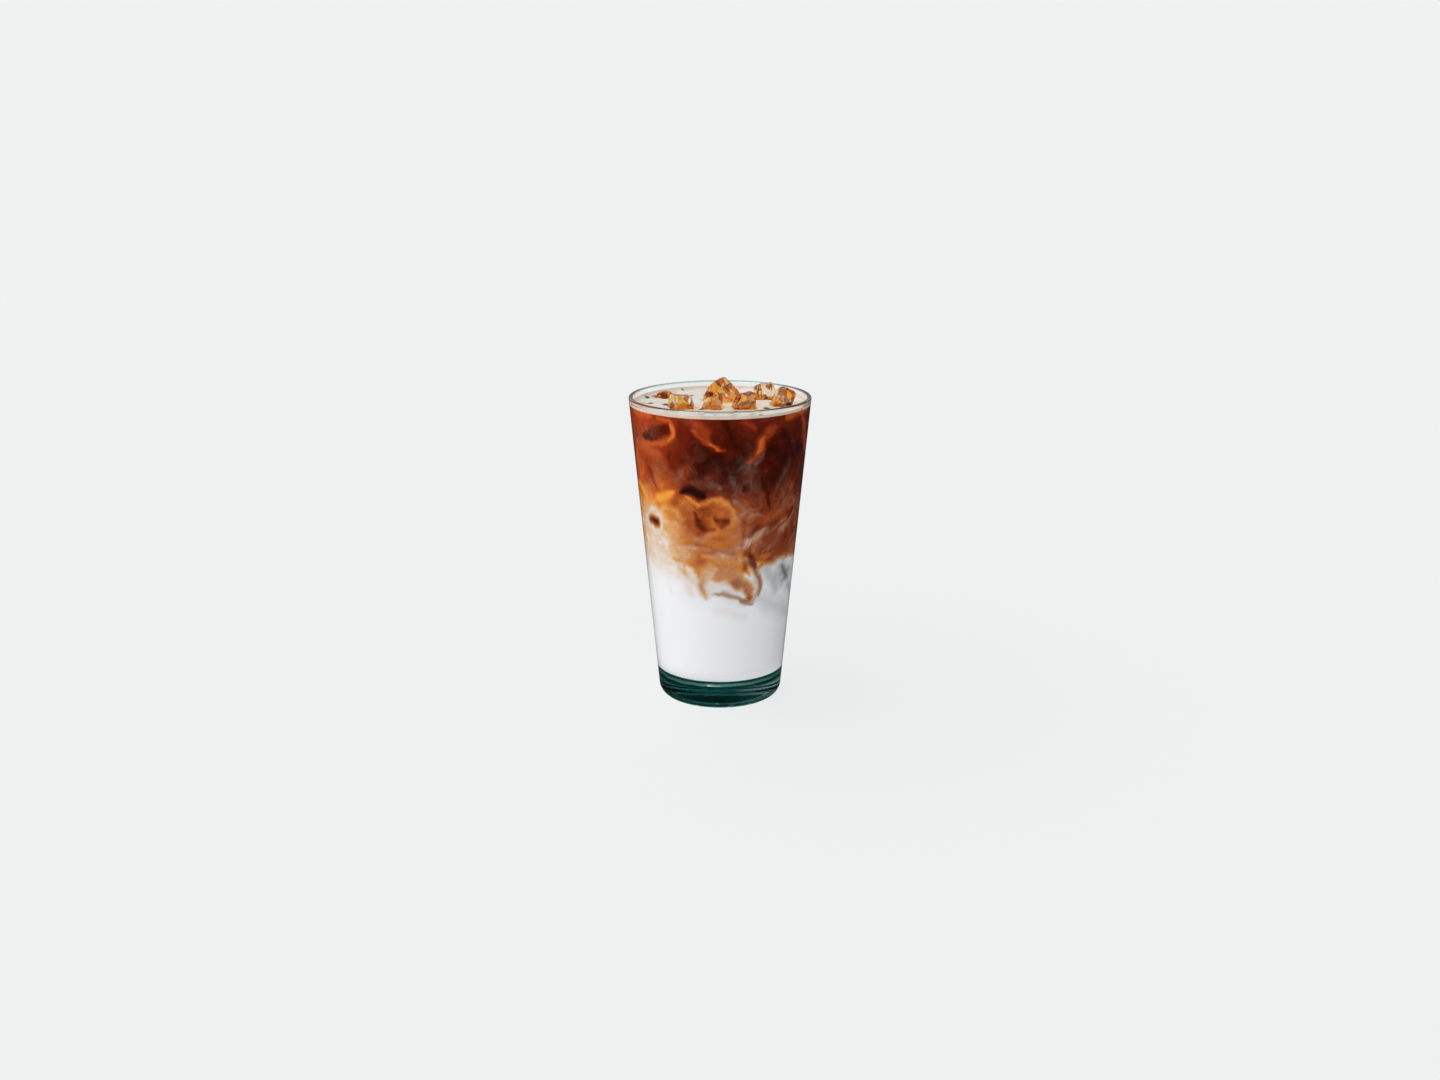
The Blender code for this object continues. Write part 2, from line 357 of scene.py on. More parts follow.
def marbling_in_front(swirls):
    """The marbled middle: cream and orange on the left, caramel in the centre, brown on the right."""
    paint = swirls.paint
    paint([(-80, 110), (-70, 107), (-62, 103), (-52, 103)], 3.8, coffee=0.40, glow=0.85)
    paint([(-74, 98), (-60, 98), (-48, 100)], 3.6, coffee=0.30, glow=0.2)
    paint([(-50, 104.5), (-42, 107), (-35, 110.5)], 3.7, coffee=0.41, glow=1)
    paint([(-42, 100), (-34, 97)], 3.6, coffee=0.52, glow=0.4)
    paint([(-46, 92), (-36, 89)], 4, coffee=0.36, glow=0.45)
    paint([(-34, 82), (-24, 79)], 4, coffee=0.34, haze=0.15)
    paint([(-15, 105), (-4, 107), (6, 105), (10, 100), (8, 94)], 3, coffee=0.46, glow=0.55)
    paint([(-12, 99), (-4, 100), (0, 95)], 3.5, coffee=0.68, glow=0)
    paint([(-12, 87), (0, 85), (10, 87)], 3, coffee=0.52, glow=0.35)
    paint([(-34, 104), (-24, 99), (-22, 91)], 4.5, coffee=0.66, glow=0.15)
    paint([(22, 104), (40, 104), (60, 107)], 5, coffee=0.76, glow=0)
    paint([(30, 83), (48, 80), (64, 84)], 5, coffee=0.72, glow=0)
    paint([(-12, 79), (0, 78), (10, 76), (20, 72)], 3.2, coffee=0.42, glow=0.3)
    paint([(10, 75.5), (18, 73.5), (23, 70)], 2.2, coffee=0.50, glow=0.4)
    paint([(10, 92), (2, 90), (14, 97)], 4.5, soft=1.3, coffee=0.50, glow=0.30)
    paint([(20, 85), (22.5, 79), (20, 73)], 3.6, soft=1.3, coffee=0.72, glow=0)
    paint([(22, 79), (30, 79)], 3.6, soft=1.3, coffee=0.70, glow=0)
    paint([(-28, 110), (-19, 111.4), (-10, 108.8)], 4.7, soft=0.9, taper=0.9, shake=0.5, coffee=0.9,
          shade=0.95)
    paint([(-25, 106.8), (-12, 105.5)], 2, coffee=0.42, glow=0.6)
    paint([(30, 119), (32.5, 112), (37, 102)], 2, soft=0.9, taper=0.6, coffee=0.85, shade=0.75)
    paint([(-18, 101), (-15.5, 96), (-10, 91.5)], 2.6, soft=1.1, taper=0.6, shake=0.5, coffee=0.8, shade=0.5)
    paint([(-3, 97.4), (2, 97.2), (6.5, 97.6)], 3, soft=1.2, taper=0.5, shake=0.5, coffee=0.80, shade=0.5)
    paint([(5, 97.5), (2, 94)], 3.4, soft=1.2, shake=0.5, coffee=0.80, shade=0.5)
    paint([(-11, 91.2), (-3, 92)], 2.2, coffee=0.74, shade=0.3)
    paint([(-4, 88.5), (3, 89.5)], 3, soft=1.3, coffee=0.50, glow=0.35)
    paint([(63, 99), (60, 94)], 2.6, coffee=0.85, shade=0.4)
    paint([(-64, 95), (-57, 99.5), (-49, 96), (-49, 90), (-57, 87.5), (-64, 91), (-64, 95)], 2.6,
          taper=0, haze=0.3, coffee=0.14, glow=0)
    paint([(-60, 93.5), (-54, 93)], 3.9, soft=1, taper=0, shake=0.4, coffee=0.8, glow=0, shade=0.62,
          cool=0.15)


def threads_in_front(swirls):
    """Pale threads of milk that rise to the right, through the caramel and the brown."""
    wisp = swirls.wisp
    wisp([(-6, 79), (15, 84.5), (34, 90)], 3, 0.55)
    wisp([(7, 82), (28, 88), (56, 94)], 2.4, 0.42)
    wisp([(-18, 83), (0, 80.5), (19, 77)], 3, 0.45)
    wisp([(36, 80), (52, 88), (66, 96)], 3.2, 0.34)
    wisp([(-26, 93), (-14, 88), (-4, 90)], 2.6, 0.35)
    wisp([(10, 98), (22, 101), (32, 98)], 2.6, 0.35)
    wisp([(-36, 84), (-26, 81), (-18, 84)], 4, 0.5)


def ring_of_ice_in_the_milk(swirls):
    """A sunk cube in the milk: brown arcs round a pale face, a thin dark lip under it, and painted cool shade
    with a painted dark streak on the milk to its right.
    """
    paint = swirls.paint
    paint([(-8, 64), (6, 61), (20, 58), (30, 60)], 7, shake=0.6, coffee=0.10, glow=0, cool=0.12)
    # Painted shade on the milk's right side, in a cool blue-grey, in the next three strokes.
    paint([(62, 48), (60, 24)], 15, soft=1.6, shake=0.3, cool=0.10)
    paint([(37, 71), (46, 66), (52, 59)], 6.5, shake=0.5, coffee=0.02, glow=0, haze=0, cool=0.44)
    paint([(34, 57), (52, 52), (70, 46)], 10, soft=1.2, shake=0.5, cool=0.30)
    # The arcs and lip below are greyed with some painted cool shade.
    paint([(-4, 72), (-12, 69), (-16, 63.5), (-11, 58)], 3.8, soft=1.2, shake=0.6, coffee=0.26, cool=0.12,
          haze=0.2)
    paint([(-12, 69), (-15.5, 63.5), (-12, 59.5)], 1.7, taper=0.7, shake=0.6, coffee=0.36,
          cool=0.1, shade=0.1)
    paint([(-3, 68.5), (6, 70.5), (16, 67), (25, 62.5)], 4.6, shake=0.7, coffee=0.50, glow=0, haze=0.25)
    paint([(12, 66), (19, 64), (25, 58)], 4.2, taper=0.2, shake=0.7, coffee=0.58, glow=0, shade=0.15,
          cool=0.12)
    paint([(-4, 63.5), (6, 63)], 2.2, shake=0.5, coffee=0.08, cool=0.12)
    paint([(20, 78), (27, 73), (31, 67), (32, 60), (27, 55)], 3.8, soft=1.2, shake=0.6, coffee=0.28,
          cool=0.25, shade=0.1)
    paint([(23, 77), (29, 71), (33, 65), (34, 58)], 2, taper=0.7, shake=0.6, coffee=0.40,
          cool=0.4, shade=0.2)
    paint([(23, 79), (29, 74)], 3.4, coffee=0.78, glow=0, shade=0.3)
    paint([(-7, 60.5), (2, 60.4), (9, 59.4), (19, 56.4), (28, 54)], 2.6, shake=0.7, coffee=0.18, cool=0.2)
    paint([(-5, 60.6), (6, 59.6), (17, 56.8), (28, 54)], 1.6, taper=0.6, shake=0.7, coffee=0.28, cool=0.4,
          shade=0.12)
    paint([(14, 57.5), (26, 56)], 1.7, taper=0.8, shake=0.6, coffee=0.34, cool=0.4, shade=0.15)
    paint([(-4, 53), (8, 51), (22, 49)], 6.5, soft=1.4, shake=0.8, coffee=0.10, glow=0.1, cool=0.04)
    paint([(-45, 67), (-44, 58)], 4, soft=1.3, coffee=0.09)
    paint([(-20, 66), (-27, 72)], 4.5, coffee=0.16)
    # Painted dark reflection of the wall: a navy streak near the milk's right edge, in the next two strokes.
    paint([(52, 73), (60, 68), (68, 61), (76, 57)], 8, soft=1.3, shake=1.2, cool=0.76, coffee=0.08)
    paint([(58, 69), (66, 63)], 5, soft=1.2, cool=0.95)
    paint([(-62, 72), (-46, 69), (-34, 67)], 5, soft=1.4, coffee=0.13)


def paint_swirls(points):
    """All the strokes on the points of one piece; the shares come back by name."""
    swirls = Swirls(points)
    pour_layers(swirls)
    fold_in_espresso(swirls)
    smoke_in_the_espresso(swirls)
    sunk_ice_in_the_espresso(swirls)
    marbling_in_front(swirls)
    threads_in_front(swirls)
    ring_of_ice_in_the_milk(swirls)
    return {name: np.clip(share, 0, 1) for name, share in swirls.share.items()}


# Colours of milk with more and more coffee in it, from the front and with painted light behind it
MIXED_TONES = [
    (0.00, "F0EFF2"), (0.08, "EAE4E7"), (0.18, "DEC8B8"), (0.30, "D3A178"), (0.42, "C57D44"),
    (0.54, "B06230"), (0.66, "92431E"), (0.78, "6B240B"), (0.90, "470D01"), (1.00, "280500"),
]
LIT_TONES = [
    (0.00, "FBF2E4"), (0.18, "F2D6AC"), (0.32, "EEB062"), (0.45, "EB9332"), (0.60, "DC6C26"),
    (0.85, "C6421C"), (1.00, "A63012"),
]
SHADE_TONE = "180807"
HAZE_TONE = "D4B49C"
# Blue-grey of the painted shade on the milk
COOL_SHADE_TONE = "3C4358"


# Shaders

def linear(colour):
    """A colour written as sRGB hex, as the linear values that a socket takes."""
    parts = [int(colour[place:place + 2], 16) / 255 for place in (0, 2, 4)]
    return tuple(part / 12.92 if part <= 0.04045 else ((part + 0.055) / 1.055) ** 2.4
                 for part in parts) + (1.0,)


def set_up(tree, node, settings=None, links=None):
    """Gives a node its own settings and socket values, and links its inputs."""
    for name, value in (settings or {}).items():
        if isinstance(name, str) and hasattr(node, name):
            setattr(node, name, value)
        else:
            node.inputs[name].default_value = value
    for name, source in (links or {}).items():
        tree.links.new(source, node.inputs[name])
    return node


def add_node(tree, kind, settings=None, links=None):
    return set_up(tree, tree.nodes.new("ShaderNode" + kind), settings, links)


def set_tones(ramp, tones):
    """The stops of a Color Ramp, from (place, colour) pairs."""
    stops = ramp.color_ramp.elements
    while len(stops) < len(tones):
        stops.new(0.5)
    for stop, (place, colour) in zip(stops, tones):
        stop.position = place
        stop.color = linear(colour)
    return ramp


def start_material(name):
    """An empty material; its node tree and its Principled shader."""
    made = bpy.data.materials.new(name)
    made.use_nodes = True
    return made, made.node_tree, made.node_tree.nodes["Principled BSDF"]


def object_place(tree):
    return add_node(tree, "TexCoord").outputs["Object"]


def lump_scale(millimetres):
    """The scale of a noise pattern whose lumps are this large; it reads places in metres."""
    return 1 / (millimetres * MM)


def mixed(tree, factor, first, second, blend="MIX"):
    """Two colours mixed by a factor; each may be a socket or a colour."""
    node = add_node(tree, "Mix", {"data_type": "RGBA", "blend_type": blend})
    for place, value in ((0, factor), (6, first), (7, second)):
        if isinstance(value, (int, float, tuple)):
            node.inputs[place].default_value = value
        else:
            tree.links.new(value, node.inputs[place])
    return node.outputs[2]


def drink_material():
    """Milk and espresso poured together: an opaque, wet liquid that shows matt through glass.

    The five painted shares give the colour; glow is painted light coming through the liquid, and
    shade and cool shade are painted shade. Fine threads of milk, about 1 mm wide, and a fainter
    cloudiness keep the edges of the swirls from looking airbrushed. The skin lies in the glass,
    where liquid has next to no reflection of its own, so its specular level is low.
    """
    made, tree, shader = start_material("poured_milk_and_espresso")
    share = {name: add_node(tree, "Attribute", {"attribute_name": name}).outputs["Fac"]
             for name in SHARES}
    place = object_place(tree)
    drifted = add_node(tree, "TexNoise", {"Scale": lump_scale(7), "Detail": 2.0}, {"Vector": place})
    bent = mixed(tree, 0.004, place, drifted.outputs["Color"], "LINEAR_LIGHT")
    threads = add_node(tree, "TexNoise", {"Scale": lump_scale(2.6), "Detail": 5.0, "Roughness": 0.62,
                                          "Distortion": 1.4}, {"Vector": bent})
    uneven = add_node(tree, "Math", {"operation": "SUBTRACT", 1: 0.5}, {0: threads.outputs["Fac"]})
    stirred = add_node(tree, "Math", {"operation": "MULTIPLY", 1: 0.22}, {0: uneven.outputs[0]})
    calm = add_node(tree, "MapRange", {"From Max": 0.25, "To Min": 0.1}, {"Value": share["coffee"]})
    ripple = add_node(tree, "Math", {"operation": "MULTIPLY"}, {0: stirred.outputs[0], 1: calm.outputs[0]})
    coffee = add_node(tree, "Math", {"operation": "ADD", "use_clamp": True},
                      {0: share["coffee"], 1: ripple.outputs[0]})
    body = set_tones(add_node(tree, "ValToRGB", links={"Fac": coffee.outputs[0]}), MIXED_TONES)
    lit = set_tones(add_node(tree, "ValToRGB", links={"Fac": coffee.outputs[0]}), LIT_TONES)
    colour = mixed(tree, share["glow"], body.outputs["Color"], lit.outputs["Color"])
    colour = mixed(tree, share["haze"], colour, linear(HAZE_TONE))
    colour = mixed(tree, share["cool"], colour, linear(COOL_SHADE_TONE))
    colour = mixed(tree, share["shade"], colour, linear(SHADE_TONE))
    set_up(tree, shader, {"Roughness": 0.35, "Specular IOR Level": 0.02, "IOR": 1.34},
           {"Base Color": colour})
    return made


def lets_lamps_through(made, tree, shader, tint=(1.0, 1.0, 1.0, 1.0)):
    """Light from the studio passes a clear piece, while the eye still sees it bend what is behind."""
    path = add_node(tree, "LightPath")
    either = add_node(tree, "Math", {"operation": "MAXIMUM"},
                      {0: path.outputs["Is Shadow Ray"], 1: path.outputs["Is Diffuse Ray"]})
    clear = add_node(tree, "BsdfTransparent", {"Color": tint})
    mix = add_node(tree, "MixShader",
                   links={0: either.outputs[0], 1: shader.outputs[0], 2: clear.outputs[0]})
    tree.links.new(mix.outputs[0], tree.nodes["Material Output"].inputs["Surface"])
    return made


# The foot's tones by height: its own deep green, with dark rings of painted shade and pale rings of painted
# light where bent light would show.
FOOT_TONES = [
    (0.00, "06332F"), (0.05, "1B5F5A"), (0.12, "0C423E"), (0.19, "011E1B"), (0.60, "001512"),
    (0.630, "022522"), (0.650, "EEF6F3"), (0.700, "EEF6F3"), (0.718, "1A4340"), (0.748, "1A4340"),
    (0.768, "F9FCFB"),
]
FOOT_TONE_HEIGHT = 20.0
LIP_TINT_FROM = 149.2
LIP_TINT_FULL = 149.6


def glass_material():
    """Pressed soda-lime glass with iron in it: clear in the thin wall, deep sea green in the foot.

    The dark and pale rings that the foot would show by bending light are painted into its colour;
    their tones follow the height, made uneven over some 8 mm. A painted pool of light makes its right
    side a lighter green, and small painted glints lie low in it. The lip, seen along its length, is
    green too. Polished in the fire, the glass has no roughness, only the slow waviness of pressing.
    """
    made, tree, shader = start_material("pressed_green_glass")
    place = object_place(tree)
    axes = add_node(tree, "SeparateXYZ", links={0: place})
    height = axes.outputs["Z"]
    ripple = add_node(tree, "TexNoise", {"Scale": lump_scale(8), "Detail": 1.5}, {"Vector": place})
    shift = add_node(tree, "MapRange", {"To Min": -0.7 * MM, "To Max": 0.7 * MM},
                     {"Value": ripple.outputs["Fac"]})
    bent = add_node(tree, "Math", {"operation": "ADD"}, {0: height, 1: shift.outputs[0]})
    low = add_node(tree, "MapRange", {"From Max": FOOT_TONE_HEIGHT * MM}, {"Value": bent.outputs[0]})
    rings = set_tones(add_node(tree, "ValToRGB", links={"Fac": low.outputs[0]}), FOOT_TONES)
    low_down = add_node(tree, "MapRange", {"From Min": 1.5 * MM, "From Max": 4.5 * MM,
                                           "To Min": 1.0, "To Max": 0.0}, {"Value": height})
    # Painted glints: small near-white spots low in the foot.
    glint_scatter = add_node(tree, "TexNoise", {"Scale": lump_scale(3), "Detail": 2.0}, {"Vector": place})
    spark = add_node(tree, "MapRange", {"From Min": 0.60, "From Max": 0.66}, {"Value": glint_scatter.outputs["Fac"]})
    glint = add_node(tree, "Math", {"operation": "MULTIPLY"}, {0: low_down.outputs[0], 1: spark.outputs[0]})
    # Painted light: a lighter green on the foot's right side.
    painted_light_side = add_node(tree, "MapRange", {"From Min": 8 * MM, "From Max": 28 * MM, "To Max": 0.35},
                           {"Value": axes.outputs["X"]})
    in_foot = add_node(tree, "MapRange", {"From Min": 9 * MM, "From Max": 12 * MM,
                                          "To Min": 1.0, "To Max": 0.0}, {"Value": bent.outputs[0]})
    lit = add_node(tree, "Math", {"operation": "MULTIPLY"},
                   {0: painted_light_side.outputs[0], 1: in_foot.outputs[0]})
    green = mixed(tree, lit.outputs[0], rings.outputs["Color"], linear("4A978F"))
    green = mixed(tree, glint.outputs[0], green, linear("F2FAF7"))
    lip = add_node(tree, "MapRange", {"From Min": LIP_TINT_FROM * MM, "From Max": LIP_TINT_FULL * MM},
                   {"Value": height})
    colour = mixed(tree, lip.outputs[0], green, linear("7FA79C"))
    wave = add_node(tree, "TexNoise", {"Scale": lump_scale(9), "Detail": 1.0}, {"Vector": place})
    bump = add_node(tree, "Bump", {"Strength": 0.07, "Distance": 0.4 * MM}, {"Height": wave.outputs["Fac"]})
    set_up(tree, shader, {"Roughness": 0.0, "IOR": 1.52, "Transmission Weight": 1.0},
           {"Base Color": colour, "Normal": bump.outputs[0]})
    absorb = add_node(tree, "VolumeAbsorption", {"Color": linear("C4E4DC"), "Density": 5.0})
    tree.links.new(absorb.outputs[0], tree.nodes["Material Output"].inputs["Volume"])
    return lets_lamps_through(made, tree, shader)


# Ice facet tones; the browns at the top end are a painted view of the drink through the ice.
ICE_TONES = [
    (0.00, "FFFFFF"), (0.36, "FFFDF8"), (0.42, "FDE6B0"), (0.54, "FBC854"), (0.68, "F6B03C"),
    (0.75, "E89A48"), (0.79, "86504A"), (1.00, "42242A"),
]


def ice_material():
    """Clear ice wet with coffee: hard, glossy and bright, cracked inside into facets.

    The facets are about 4 mm wide, with wavy edges. Some are clear or cloudy white, most are amber
    from the coffee round the cube, and the deepest are painted the brown of the drink below, as it
    would show through the ice.
    """
    made, tree, shader = start_material("coffee_wet_ice")
    place = object_place(tree)
    veil = add_node(tree, "TexNoise", {"Scale": lump_scale(5), "Detail": 4.0, "Distortion": 1.0},
                    {"Vector": place})
    cracked = mixed(tree, 0.0035, place, veil.outputs["Color"], "LINEAR_LIGHT")
    facets = add_node(tree, "TexVoronoi", {"Scale": lump_scale(3.8)}, {"Vector": cracked})
    tint = set_tones(add_node(tree, "ValToRGB", links={"Fac": facets.outputs["Color"]}), ICE_TONES)
    cloudy = add_node(tree, "MapRange", {"From Min": 0.28, "From Max": 0.42, "To Min": 0.25, "To Max": 0.01},
                      {"Value": veil.outputs["Fac"]})
    bump = add_node(tree, "Bump", {"Strength": 0.25, "Distance": 0.3 * MM}, {"Height": veil.outputs["Fac"]})
    set_up(tree, shader, {"IOR": 1.31, "Transmission Weight": 1.0},
           {"Base Color": tint.outputs["Color"], "Roughness": cloudy.outputs[0],
            "Normal": bump.outputs[0]})
    absorb = add_node(tree, "VolumeAbsorption", {"Color": linear("FBDA88"), "Density": 26.0})
    tree.links.new(absorb.outputs[0], tree.nodes["Material Output"].inputs["Volume"])
    return lets_lamps_through(made, tree, shader, linear("FFF1D8"))


def foam_material():
    """Thin milk foam: matt and soft, cream-white, with coffee showing through it in small holes.

    Its cells are about 0.9 mm wide; the holes, up to 2 mm wide, lie some 6 mm apart.
    """
    made, tree, shader = start_material("thin_milk_foam")
    place = object_place(tree)
    cloud = add_node(tree, "TexNoise", {"Scale": lump_scale(11), "Detail": 6.0, "Distortion": 1.2},
                     {"Vector": place})
    tone = set_tones(add_node(tree, "ValToRGB", links={"Fac": cloud.outputs["Fac"]}),
                     [(0.30, "D0BFA8"), (0.42, "E2D9CC"), (0.55, "E6E2DE"), (0.75, "ECEAEC")])
    soaked = add_node(tree, "Attribute", {"attribute_name": "soaked"}).outputs["Fac"]
    colour = mixed(tree, soaked, tone.outputs["Color"], linear("D08C54"))
    dark_foam_spots = add_node(tree, "Attribute", {"attribute_name": "dark_foam_spots"}).outputs["Fac"]
    holes = add_node(tree, "TexVoronoi", {"Scale": lump_scale(6.0)}, {"Vector": place})
    near = add_node(tree, "MapRange", {"From Min": 0.13, "From Max": 0.20, "To Min": 1.0, "To Max": 0.0},
                    {"Value": holes.outputs["Distance"]})
    chosen = add_node(tree, "Math", {"operation": "GREATER_THAN", 1: 0.6}, {0: holes.outputs["Color"]})
    hole = add_node(tree, "Math", {"operation": "MULTIPLY"}, {0: near.outputs[0], 1: chosen.outputs[0]})
    colour = mixed(tree, hole.outputs[0], colour, linear("6A3B2A"))
    # Darker spots at the listed places darken the foam.
    colour = mixed(tree, dark_foam_spots, colour, linear("3C1714"))
    cells = add_node(tree, "TexVoronoi", {"Scale": lump_scale(0.9), "feature": "SMOOTH_F1"},
                     {"Vector": place})
    bump = add_node(tree, "Bump", {"Strength": 0.35, "Distance": 0.15 * MM},
                    {"Height": cells.outputs["Distance"]})
    set_up(tree, shader, {"Roughness": 0.45, "Specular IOR Level": 0.3},
           {"Base Color": colour, "Normal": bump.outputs[0]})
    return made


# Modelling, as by hand

def begin_at_rest():
    if bpy.context.object and bpy.context.object.mode != "OBJECT":
        bpy.ops.object.mode_set(mode="OBJECT")
    bpy.ops.object.select_all(action="DESELECT")


def take_up(piece):
    """Out of edit mode, with this piece alone selected and active."""
    begin_at_rest()
    bpy.context.view_layer.objects.active = piece
    piece.select_set(True)


def smooth(piece, angle):
    """Shades the piece smooth, with edges sharper than this angle in degrees left crisp."""
    take_up(piece)
    bpy.ops.object.shade_smooth_by_angle(angle=math.radians(angle))


def pick(piece, kind, test):
    """Back in edit mode with only the faces or edges that pass the test selected."""
    bpy.ops.object.mode_set(mode="EDIT")
    bpy.ops.mesh.select_mode(type=kind)
    bpy.ops.mesh.select_all(action="DESELECT")
    bpy.ops.object.mode_set(mode="OBJECT")
    items = piece.data.polygons if kind == "FACE" else piece.data.edges
    for item in items:
        item.select = test(item)
    bpy.ops.object.mode_set(mode="EDIT")


def corners(piece, item):
    return [piece.data.vertices[index].co / MM for index in item.vertices]


def faces_up(face):
    return face.normal.z > 0.9


def faces_down(face):
    return face.normal.z < -0.9


def edge_ring(piece, radius, height, slack=0.3):
    """A test for the edges of the ring with this radius and height, in mm."""
    def test(edge):
        return all(abs(math.hypot(co.x, co.y) - radius) < slack and abs(co.z - height) < slack
                   for co in corners(piece, edge))
    return test


def finish_piece(piece, name, nodes, finish):
    """Places a modelled piece in the frame: its name, material and the solids it replaces."""
    take_up(piece)
    piece.name = name
    piece.data.name = name
    bpy.ops.object.transform_apply()
    piece.data.materials.clear()
    piece.data.materials.append(finish)
    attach(piece, "root")
    if nodes:
        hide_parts(*nodes)
    return piece


def apply_modifier(piece, name, kind, **settings):
    """Adds one modifier and applies it."""
    take_up(piece)
    modifier = piece.modifiers.new(name, kind)
    for setting, value in settings.items():
        setattr(modifier, setting, value)
    bpy.ops.object.modifier_apply(modifier=name)


def get_points(piece):
    points = np.zeros(len(piece.data.vertices) * 3)
    piece.data.vertices.foreach_get("co", points)
    return points.reshape(-1, 3) / MM


def set_points(piece, points):
    piece.data.vertices.foreach_set("co", (np.asarray(points) * MM).ravel())
    piece.data.update()


def store_share(piece, name, values):
    """A float attribute that the piece's material reads."""
    attribute = piece.data.attributes.new(name, "FLOAT", "POINT")
    attribute.data.foreach_set("value", np.asarray(values, np.float32))


def make_tumbler():
    """A cone turned into a tumbler: hollowed, with a thick floor, a round lip, foot and punt."""
    begin_at_rest()
    bpy.ops.mesh.primitive_cone_add(vertices=GLASS_SIDES, radius1=FOOT_RADIUS * MM,
                                    radius2=RIM_RADIUS * MM, depth=HEIGHT * MM,
                                    end_fill_type="NGON", location=(0, 0, HEIGHT / 2 * MM))
    glass = bpy.context.object
    bpy.ops.object.transform_apply()
    mouth = skin_radius(HEIGHT) - REACH
    floor_edge = skin_radius(FLOOR) - REACH
    pick(glass, "FACE", faces_up)
    bpy.ops.mesh.inset(thickness=(RIM_RADIUS - mouth) * MM)
    bpy.ops.mesh.extrude_region_move(TRANSFORM_OT_translate={"value": (0, 0, (FLOOR - HEIGHT) * MM)})
    bpy.ops.transform.resize(value=(floor_edge / mouth, floor_edge / mouth, 1))
    pick(glass, "EDGE", edge_ring(glass, floor_edge, FLOOR))
    bpy.ops.mesh.bevel(offset=FLOOR_ROUND * MM * math.tan(math.radians(42)), segments=10, affect="EDGES")
    lip_rings = [edge_ring(glass, radius, HEIGHT) for radius in (RIM_RADIUS, mouth)]
    pick(glass, "EDGE", lambda edge: any(ring(edge) for ring in lip_rings))
    bpy.ops.mesh.bevel(offset=LIP_RADIUS * 0.99 * MM, segments=8, affect="EDGES")
    pick(glass, "EDGE", edge_ring(glass, FOOT_RADIUS, 0))
    bpy.ops.mesh.bevel(offset=FOOT_ROUND * MM, segments=10, affect="EDGES")
    pick(glass, "FACE", lambda face: faces_down(face) and len(face.vertices) > 8)
    bpy.ops.mesh.inset(thickness=(FOOT_RADIUS - FOOT_ROUND - PUNT_RADIUS) * MM)
    for ring in range(PUNT_RINGS):
        rise = PUNT_DEPTH * (((ring + 1) / PUNT_RINGS) ** 0.5 - (ring / PUNT_RINGS) ** 0.5)
        bpy.ops.mesh.inset(thickness=PUNT_RADIUS / (PUNT_RINGS + 1) * MM)
        bpy.ops.transform.translate(value=(0, 0, rise * MM))
    bpy.ops.mesh.poke()
    pick(glass, "FACE", lambda face: faces_up(face) and len(face.vertices) > 8)
    bpy.ops.mesh.inset(thickness=floor_edge * 0.35 * MM)
    bpy.ops.mesh.poke()
    smooth(glass, 40)
    return finish_piece(glass, "tumbler", ["glass"], glass_material())


def wall_height(turn, height_at):
    """The height at which a layer's edge meets the skin at each turn, in mm."""
    height = np.full(len(turn), 100.0)
    for _ in range(12):
        radius = skin_radius(height)
        height = height_at(radius * np.sin(turn), -radius * np.cos(turn))
    return height


def corner_arc(part):
    """The round between floor and wall, from the floor (0) to the wall (1): radius and height."""
    tilt = math.atan(INNER_SLOPE)
    centre_height = FLOOR + FLOOR_ROUND
    centre = skin_radius(centre_height) - REACH - FLOOR_ROUND * math.hypot(1, INNER_SLOPE)
    angle = -math.pi / 2 + part * (math.pi / 2 - tilt)
    reach = FLOOR_ROUND + REACH
    return centre + reach * np.cos(angle), centre_height + reach * np.sin(angle)


def make_filling(rows):
    """A closed drum of square cells, from height 0 to 1 mm, that the layers are shaped from."""
    begin_at_rest()
    bpy.ops.mesh.primitive_cylinder_add(vertices=SKIN_SIDES, radius=20 * MM, depth=1 * MM,
                                        end_fill_type="NGON", location=(0, 0, 0.5 * MM))
    drum = bpy.context.object
    bpy.ops.object.transform_apply()
    pick(drum, "EDGE", lambda edge: abs(corners(drum, edge)[0].z - corners(drum, edge)[1].z) > 0.5)
    bpy.ops.mesh.subdivide(number_cuts=rows - 1)
    begin_at_rest()
    return drum


def close_ends(piece):
    """Both ends become fans round a middle point, so that no huge face is left."""
    pick(piece, "FACE", lambda face: len(face.vertices) > 8)
    bpy.ops.mesh.poke()
    smooth(piece, 30)


def make_layer(name, slot, rows, low_at, high_at, finish):
    """One layer of the drink between two uneven heights, against the glass all round."""
    drum = make_filling(rows)
    points = get_points(drum)
    turn = np.arctan2(points[:, 0], -points[:, 1])
    part = points[:, 2]
    high = wall_height(turn, high_at)
    if low_at is None:
        arc_share = FLOOR_ROUND * 1.5 / (FLOOR_ROUND * 1.5 + high - FLOOR - FLOOR_ROUND)
        arc_radius, arc_height = corner_arc(np.minimum(part / arc_share, 1))
        start = corner_arc(1.0)[1]
        height = np.where(part < arc_share, arc_height,
                          start + (high - start) * (part - arc_share) / (1 - arc_share))
        radius = np.where(part < arc_share, arc_radius, skin_radius(height))
    else:
        low = wall_height(turn, low_at)
        height = low + (high - low) * part
        radius = skin_radius(height)
    set_points(drum, np.stack([radius * np.sin(turn), -radius * np.cos(turn), height], axis=1))
    if high_at is level_with_foam:
        pick(drum, "FACE", lambda face: faces_up(face) and len(face.vertices) > 8)
        bpy.ops.mesh.inset(thickness=MENISCUS_WIDTH * MM)
        bpy.ops.transform.translate(value=(0, 0, -MENISCUS * MM))
    close_ends(drum)
    return drum


def level_with_foam(x, y):
    """The espresso's edge: where the foam's underside meets the wall."""
    return np.full(len(x), SURFACE + MENISCUS - FOAM_THICKNESS)


